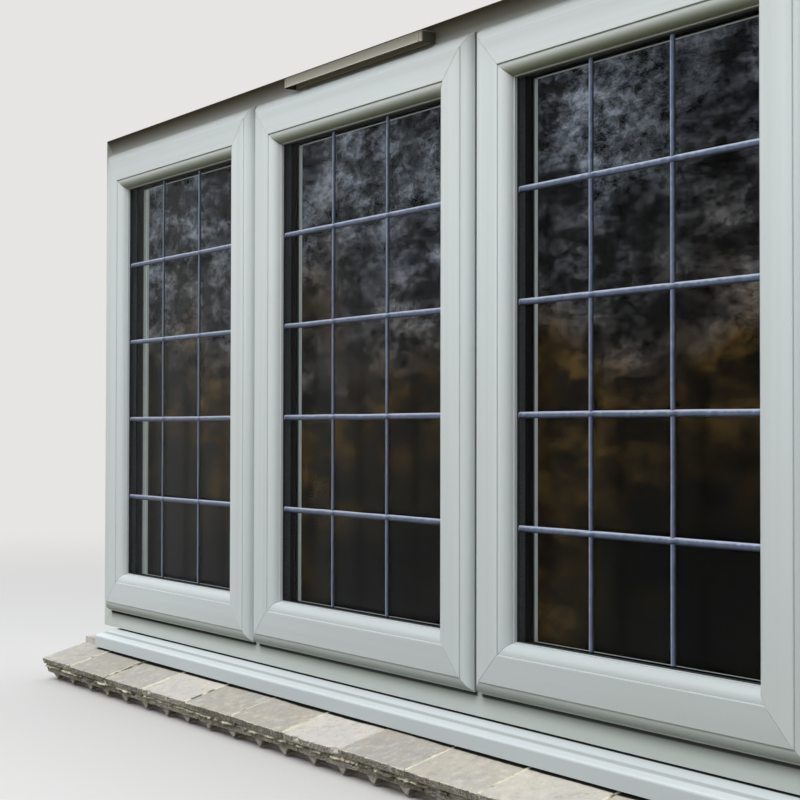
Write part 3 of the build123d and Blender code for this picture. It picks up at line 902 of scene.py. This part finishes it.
class Heap:
    """Many small shapes gathered into one mesh, with a number or two at each point."""

    def __init__(self):
        self.points = []
        self.faces = []
        self.values = {}
        self.count = 0

    def add(self, points, faces, **values):
        """Adds a shape, and its value or values for each named number."""
        self.points.append(points)
        self.faces.extend((np.asarray(face) + self.count).tolist() for face in faces)
        for name, value in values.items():
            self.values.setdefault(name, []).append(np.broadcast_to(value, len(points)))
        self.count += len(points)

    def piece(self, name, slot, material, replaced=()):
        """Makes one piece of the shapes, which may replace CAD nodes."""
        mesh = bpy.data.meshes.new(name)
        mesh.from_pydata(np.concatenate(self.points).tolist(), [], self.faces)
        for value_name, parts in self.values.items():
            attribute = mesh.attributes.new(value_name, "FLOAT", "POINT")
            attribute.data.foreach_set("value", np.concatenate(parts).astype(np.float32))
        mesh.polygons.foreach_set("use_smooth", [True] * len(mesh.polygons))
        mesh.materials.append(material)
        piece = add_object(name, mesh)
        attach(piece, "root")
        if replaced:
            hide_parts(*replaced)


def near_crossings(along, crossings, reach):
    """One at each crossing, falling to nought between the two distances of its reach."""
    total = np.zeros(len(along))
    for crossing in crossings:
        total = np.maximum(total, 1.0 - smooth_step(np.abs(along - crossing), *reach))
    return total


def lead_strip(start, end, height, seed, crossings, hump):
    """One lead with a domed face, lifted by a hump over each crossing, and its back flat on the glass.

    The points come as (along, across, height), with a number that is one where another lead crosses.
    """
    along = np.arange(start, end + LEAD_STEP / 2, LEAD_STEP)
    along[-1] = end
    count = len(along)
    across = np.sin(np.linspace(-math.pi / 2, math.pi / 2, LEAD_SECTIONS))
    dome = (1.0 - np.abs(across) ** LEAD_ROUNDING) ** 0.5
    line = np.stack((along, np.full(count, seed * LEAD_APART), np.zeros(count)), axis=1)
    waver = value_noise(line, LEAD_WAVER_LENGTH, seed=3) * LEAD_WAVER
    spread = 1.0 + LEAD_SPREAD * value_noise(line, LEAD_SPREAD_LENGTH, seed=5)
    dent = 1.0 + LEAD_DENT * rough_noise(line, LEAD_DENT_LENGTH, seed=7)
    half_width = LEAD_WIDTH / 2 * spread
    rise = height * dent + hump * near_crossings(along, crossings, LEAD_HUMP_REACH)
    sideways = (waver[:, None] + half_width[:, None] * across).ravel()
    lifted = (rise[:, None] * dome).ravel()
    points = np.stack((np.repeat(along, LEAD_SECTIONS), sideways, lifted), axis=1)
    row = np.arange(count - 1)[:, None] * LEAD_SECTIONS
    column = np.arange(LEAD_SECTIONS)
    following = (column + 1) % LEAD_SECTIONS
    corners = (row + column, row + following, row + LEAD_SECTIONS + following, row + LEAD_SECTIONS + column)
    faces = np.stack(corners, axis=-1).reshape(-1, 4).tolist()
    faces.append(column[::-1].tolist())
    faces.append(((count - 1) * LEAD_SECTIONS + column).tolist())
    joint = near_crossings(along, crossings, LEAD_JOINT_REACH)
    return points, faces, np.repeat(joint, LEAD_SECTIONS)


def lead_places(low, high, panes):
    """Middles of the leads between a number of equal panes, whose outer edges the gasket hides a little."""
    step = (high - low + 2 * LEAD_REVEAL) / panes
    return [(low + high) / 2 + (number - panes / 2) * step for number in range(1, panes)]


def make_leads(material):
    """A lattice of lead strips on each sash, the rows pressed down over the columns."""
    for sash_number, sash in enumerate(SASHES):
        low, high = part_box(f"{sash}_lead_lattice")
        glass = high.y
        height = high.y - low.y
        columns = lead_places(low.x, high.x, LEAD_COLUMNS)
        rows = lead_places(low.z, high.z, LEAD_ROWS)
        heap = Heap()
        seed = SASH_SEEDS * sash_number
        for number, x in enumerate(columns):
            strip, faces, joint = lead_strip(low.z, high.z, height, seed + number, rows, hump=0.0)
            placed = np.stack((x - strip[:, 1], glass - strip[:, 2], strip[:, 0]), axis=1)
            heap.add(placed, faces, joint=joint)
        for number, z in enumerate(rows):
            row_seed = seed + ROW_SEED + number
            strip, faces, joint = lead_strip(low.x, high.x, height, row_seed, columns, LEAD_HUMP)
            placed = np.stack((strip[:, 0], glass - strip[:, 2], z + strip[:, 1]), axis=1)
            heap.add(placed, faces, joint=joint)
        heap.piece(f"{sash}_leads", "lead", material, [f"{sash}_lead_lattice"])


class Course:
    """The slab that a course of tiles fills: (along, up the slope, out of the slab) to the row frame."""

    def __init__(self, node, first_cut):
        low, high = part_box(node)
        self.left = low.x
        self.right = high.x
        run = math.cos(TILE_SLOPE)
        rise = math.sin(TILE_SLOPE)
        self.depth = (high.y - low.y - TILE_THICKNESS * rise) / run
        self.front = np.array((0.0, low.y, high.z - self.depth * rise))
        self.axes = np.array((ALONG, (0.0, run, rise), (0.0, -rise, run)))
        joints = [self.left + first_cut + TILE_WIDTH * number for number in range(EVEN_TILES)]
        rest = round((self.right - joints[-1]) / TILE_WIDTH)
        step = (self.right - joints[-1]) / rest
        self.joints = joints + [joints[-1] + step * number for number in range(1, rest)]

    def place(self, points):
        """Points on the slab, in the row frame."""
        return self.front + points @ self.axes


def weathered_tile(left, right, depth, seed):
    """One clay tile with worn edges, a chipped front and a slightly uneven face."""
    size = np.array((right - left, depth, TILE_THICKNESS))
    us = edge_steps(size[0], TILE_STEP, END_STEPS)
    vs = np.concatenate((FRONT_STEPS, np.linspace(BACK_START, depth, BACK_STEPS)))
    ws = edge_steps(TILE_THICKNESS, THICKNESS_STEP, THICKNESS_STEPS)
    points, faces = box_grid(us, vs, ws)
    behind_front = points[:, 1]
    height = points[:, 2]
    front = 1.0 - smooth_step(behind_front, *FRONT_REACH)
    from_face = np.minimum(height, TILE_THICKNESS - height)
    rim = front * (1.0 - smooth_step(from_face, *RIM_REACH))
    near_front = np.exp(-behind_front / WEAR_REACH)
    upper = smooth_step(height, UPPER_FROM, TILE_THICKNESS)

    spot = points + np.array((left, TILE_APART * seed, 0.0))
    line = spot * ALONG
    chips = wear(line, CHIPS, seed)
    nibbles = wear(line, NIBBLES, seed + 3)
    jags = wear(line, JAGS, seed + 6, octaves=2)
    shaped = round_box(points, size, TILE_ROUNDING)
    shaped[:, 1] += near_front * (chips * upper + nibbles)
    shaped[:, 2] -= near_front * upper * (chips * CHIP_DROP + jags)
    shaped[:, 2] += front * (1.0 - upper) * jags * JAGS_BELOW
    grain = (GRAIN_DEPTH + FRONT_GRAIN_DEPTH * front)[:, None]
    shaped += noise_vector(spot, TILE_LUMPS[0], seed + 5) * TILE_LUMPS[1]
    shaped += noise_vector(spot, GRAIN_SIZE, seed + 9, octaves=2) * grain
    shaped[:, 2] += value_noise(line, TILE_BOW[0], seed + 2) * TILE_BOW[1]
    return shaped + np.array((left, 0.0, UPPER_BASE)), faces, front, rim


def make_nib(middle, seed):
    """A rough point that hangs under the lower course."""
    steps = np.linspace(0.0, 1.0, NIB_STEPS)
    points, faces = box_grid(steps, steps, steps)
    shaped = round_box(points * NIB_SIZE, NIB_SIZE, NIB_ROUNDING)
    shaped[:, :2] -= NIB_SIZE[:2] / 2
    shaped[:, 0] *= 1.0 - (1.0 - points[:, 2]) * (1.0 - NIB_TIP / NIB_SIZE[0])
    spot = points * NIB_SIZE + np.array((middle, NIB_APART * seed, 0.0))
    shaped += noise_vector(spot, NIB_LUMPS[0], seed) * NIB_LUMPS[1]
    shaped += np.array((middle, NIB_SETBACK, LOWER_BASE - NIB_SIZE[2]))
    return shaped, faces


def make_tiles(made):
    """Two courses of clay tiles, the lower one with its nibs, in place of the plain slabs."""
    rng = np.random.default_rng(TILE_SEED)
    upper = Course("tile_course_upper", FIRST_CUT)
    lower = Course("tile_course_lower", FIRST_CUT + LOWER_OFFSET)
    for course, name, seed in ((upper, "upper", 0), (lower, "lower", LOWER_SEED)):
        starts = [course.left] + [joint + TILE_JOINT / 2 for joint in course.joints]
        ends = [joint - TILE_JOINT / 2 for joint in course.joints] + [course.right]
        heap = Heap()
        for number, (start, end) in enumerate(zip(starts, ends)):
            points, faces, front, rim = weathered_tile(start, end, course.depth, seed + number)
            points[:, 2] += rng.uniform(*TILE_LIFT)
            points[:, 2] += (points[:, 0] - (start + end) / 2) * rng.uniform(*TILE_TILT)
            points[:, 1] += rng.uniform(*TILE_SLIP)
            heap.add(course.place(points), faces, tone=rng.uniform(0.0, 1.0), front=front, rim=rim)
        if course is lower:
            count = 2 * round((course.right - course.left) / TILE_WIDTH)
            for number in range(count):
                middle = (number - (count - 1) / 2) * TILE_WIDTH / 2
                points, faces = make_nib(middle + rng.uniform(*NIB_SHIFT), NIB_SEED + number)
                heap.add(upper.place(points), faces, tone=rng.uniform(0.5, 1.0), front=0.2, rim=0.0)
        heap.piece(f"{name}_tiles", "clay_tile", made["clay_tile"], [f"tile_course_{name}"])
    make_pointing(upper, lower, made["mortar"])


def rough_block(low, high, seed, step, rounding, grain):
    """A lump of mortar, a box with round edges and a rough skin, and its points on the plain box."""
    size = high - low
    steps = [np.linspace(0.0, side, max(3, round(side / step) + 1)) for side in size]
    points, faces = box_grid(*steps)
    spot = points + low + np.array((0.0, LUMP_APART * seed, 0.0))
    shaped = round_box(points, size, rounding) + low + noise_vector(spot, SAND_SIZE, seed) * grain
    return shaped, faces, spot


def mortar_between_courses(heap, upper):
    """A bed between the two courses that swells out in front, has fallen out in places and sags."""
    low = np.array((upper.left + 2.0 * MM, 4.5 * MM, LOWER_TOP - 0.6 * MM))
    high = np.array((upper.right - 2.0 * MM, 24.0 * MM, UPPER_BASE - 0.6 * MM))
    points, faces, spot = rough_block(low, high, seed=1, step=1.7 * MM, rounding=1.5 * MM, grain=0.9 * MM)
    line = spot * ALONG
    ahead = 1.0 - smooth_step(points[:, 1], low[1], high[1])
    swell = (rough_noise(line, 24.0 * MM, seed=4) + 0.3) * 4.0 * MM
    recess = smooth_step(points[:, 2], low[2] + 2.0 * MM, high[2]) * 9.0 * MM
    points[:, 1] += ahead * (wear(line, HOLLOWS, seed=8) + recess - swell)
    points[:, 2] -= ahead * wear(line, SAGS, seed=12)
    heap.add(upper.place(points), faces, pale=1.0)


def mortar_in_joints(heap, upper, course, setback, bottom, top, pale):
    """A rough upright joint between each two tiles of a course."""
    half = TILE_JOINT / 2 + JOINT_OVERLAP
    for number, joint in enumerate(course.joints):
        low = np.array((joint - half, setback, bottom))
        high = np.array((joint + half, upper.depth - 1.0 * MM, top))
        seed = 20 + number
        points, faces, spot = rough_block(low, high, seed, step=1.8 * MM, rounding=1.0 * MM, grain=0.45 * MM)
        line = spot * (1.0 - ALONG) + joint * ALONG
        ahead = 1.0 - smooth_step(points[:, 1], low[1], low[1] + 9.0 * MM)
        points[:, 1] += ahead * (1.3 + rough_noise(line, 9.0 * MM, 30 + number)) * 2.0 * MM
        spread = 0.2 * ahead + 0.5 * rough_noise(line, 12.0 * MM, 50 + number)
        points[:, 0] += (points[:, 0] - joint) * spread
        heap.add(upper.place(points), faces, pale=pale)


def mortar_under_front(heap, upper):
    """A thin rough bed under the front of the lower course."""
    low = np.array((upper.left + 3.0 * MM, 20.0 * MM, LOWER_BASE - 1.2 * MM))
    high = np.array((upper.right - 3.0 * MM, 36.0 * MM, LOWER_BASE + JOINT_SINK))
    points, faces, spot = rough_block(low, high, seed=2, step=2.8 * MM, rounding=0.9 * MM, grain=0.45 * MM)
    ahead = 1.0 - smooth_step(points[:, 1], low[1], high[1])
    points[:, 1] += ahead * (0.4 + rough_noise(spot * ALONG, 30.0 * MM, seed=14)) * 5.0 * MM
    heap.add(upper.place(points), faces, pale=0.7)


def make_pointing(upper, lower, material):
    """Mortar that shows: between the courses, in the upright joints and under the front edge."""
    heap = Heap()
    mortar_between_courses(heap, upper)
    mortar_in_joints(heap, upper, upper, setback=0.0, bottom=LOWER_TOP, top=JOINT_RISE, pale=1.0)
    bottom = LOWER_BASE + JOINT_SINK
    mortar_in_joints(heap, upper, lower, LOWER_SETBACK, bottom, top=LOWER_TOP + JOINT_SINK, pale=0.6)
    mortar_under_front(heap, upper)
    heap.piece("mortar_pointing", "mortar", material)


def seen_or_lit(tree, seen, lighting):
    """One shader for what the camera, gloss and glass see, and another for all rays that light the object."""
    path = add_node(tree, "LightPath")
    is_seen = calculate(tree, "MAXIMUM", *(path.outputs[name] for name in SEEN_RAYS))
    return mix_shaders(tree, is_seen, lighting, seen).outputs[0]


def make_world():
    """Even pale surroundings for what is seen, and a soft plain sky that lights the object."""
    world = bpy.data.worlds.new("studio")
    bpy.context.scene.world = world
    world.use_nodes = True
    tree = world.node_tree
    tree.nodes.clear()
    place = add_node(tree, "TexCoord").outputs["Generated"]
    up = add_node(tree, "SeparateXYZ", Vector=place).outputs["Z"]
    brightness = add_node(tree, "MapRange", Value=up, To_Min=SKY_LOW, To_Max=SKY_TOP).outputs["Result"]
    sky = add_node(tree, "Background", Color=SKY_COLOUR, Strength=brightness)
    seen = add_node(tree, "Background", Color=BACKDROP)
    add_node(tree, "OutputWorld", Surface=seen_or_lit(tree, seen, sky))


def make_plane(name, low, high):
    """A flat rectangle of the stage, level or upright along X, by its lowest and highest corners."""
    corners = [low, (high[0], low[1], low[2]), high, (low[0], high[1], high[2])]
    mesh = bpy.data.meshes.new(name)
    mesh.from_pydata(corners, [], [(0, 1, 2, 3)])
    plane = add_object(name, mesh)
    return plane


def make_floor():
    """Pale floor that keeps the shadow near the object and fades into the backdrop far from it."""
    side = FLOOR_SIZE / 2
    floor = make_plane("floor", (-side, -side, FLOOR_LEVEL), (side, side, FLOOR_LEVEL))
    material = bpy.data.materials.new("floor")
    material.use_nodes = True
    tree = material.node_tree
    tree.nodes.clear()
    place = add_node(tree, "TexCoord").outputs["Object"]
    distance = add_node(tree, "VectorMath", Vector=place)
    distance.operation = "LENGTH"
    away = distance.outputs["Value"]
    fade = add_node(tree, "MapRange", Value=away, From_Min=FLOOR_FADE[0], From_Max=FLOOR_FADE[1])
    fade.interpolation_type = "SMOOTHSTEP"
    near = add_node(tree, "BsdfDiffuse", Color=FLOOR_SEEN)
    far = add_node(tree, "Emission", Color=BACKDROP)
    seen = mix_shaders(tree, fade.outputs["Result"], near, far)
    lighting = add_node(tree, "BsdfDiffuse", Color=FLOOR_BOUNCE)
    add_node(tree, "OutputMaterial", Surface=seen_or_lit(tree, seen, lighting))
    floor.data.materials.append(material)


def make_glowing_room():
    """A glowing patchy card that only the glass shows, painted light for the room behind the glass and for
    the reflections in it: blue-grey high up, brown, and nearly black low down.
    """
    side = ROOM_WIDTH / 2
    card = make_plane("glowing_room", (-side, ROOM_DEPTH, 0.0), (side, ROOM_DEPTH, ROOM_HEIGHT))
    s = Shader("glowing_room")
    s.tree.nodes.remove(s.bsdf)
    waver = s.times(s.noise(2.6, detail=3.0), ROOM_WAVER)
    height = s.levels(s.math("ADD", s.position("Z"), waver), *ROOM_CHANGE)
    tone = s.ramp(height, (0.0, ROOM_LOW), (0.42, ROOM_MIDDLE), (0.85, ROOM_HIGH))
    patches = s.levels(s.noise(ROOM_PATCHES, detail=10.0, rough=0.80), 0.43, 0.62, 0.10, 1.1)
    broad = s.levels(s.noise(3.2, detail=2.0), 0.35, 0.62, 0.35, 1.0)
    strength = s.times(broad, s.math("POWER", patches, ROOM_CONTRAST))
    glow = s.add("Emission", Color=tone, Strength=strength)
    put(s.tree, glow.outputs[0], s.tree.nodes["Material Output"].inputs["Surface"])
    card.data.materials.append(s.material)
    card.visible_camera = False
    card.visible_diffuse = False
    card.visible_glossy = False
    card.visible_shadow = False
    card.visible_volume_scatter = False


def make_shade():
    """A narrow card over the head that is never seen: it keeps the sky off the top edge, as a lintel does."""
    low, high = cad_box
    head_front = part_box("frame_head")[0].y
    top = high[2] + SHADE_GAP
    card = make_plane("shade_card", (low[0], head_front - SHADE_DEPTH, top), (high[0], head_front, top))
    s = Shader("shade_card")
    s.surface(Base_Color=SHADE_TONE, Roughness=0.9)
    card.data.materials.append(s.material)
    card.visible_camera = False
    card.visible_glossy = False
    card.visible_transmission = False


def make_lamp():
    """One large soft lamp in front of the window and above it, that is never seen itself."""
    data = bpy.data.lights.new("front_lamp", "AREA")
    data.shape = "RECTANGLE"
    data.size = LAMP_SIZE[0]
    data.size_y = LAMP_SIZE[1]
    data.energy = LAMP_WATTS
    lamp = add_object("front_lamp", data)
    lamp.location = LAMP_PLACE
    lamp.rotation_mode = "QUATERNION"
    lamp.rotation_quaternion = (LAMP_TARGET - LAMP_PLACE).to_track_quat("-Z", "Y")
    lamp.visible_camera = False
    lamp.visible_glossy = False
    lamp.visible_transmission = False


make_camera()
materials = make_materials()
dress_nodes(materials)
make_leads(materials["lead"])
make_tiles(materials)
make_world()
make_floor()
make_glowing_room()
make_shade()
make_lamp()
bpy.context.scene.view_settings.view_transform = "Standard"

bpy.context.view_layer.update()
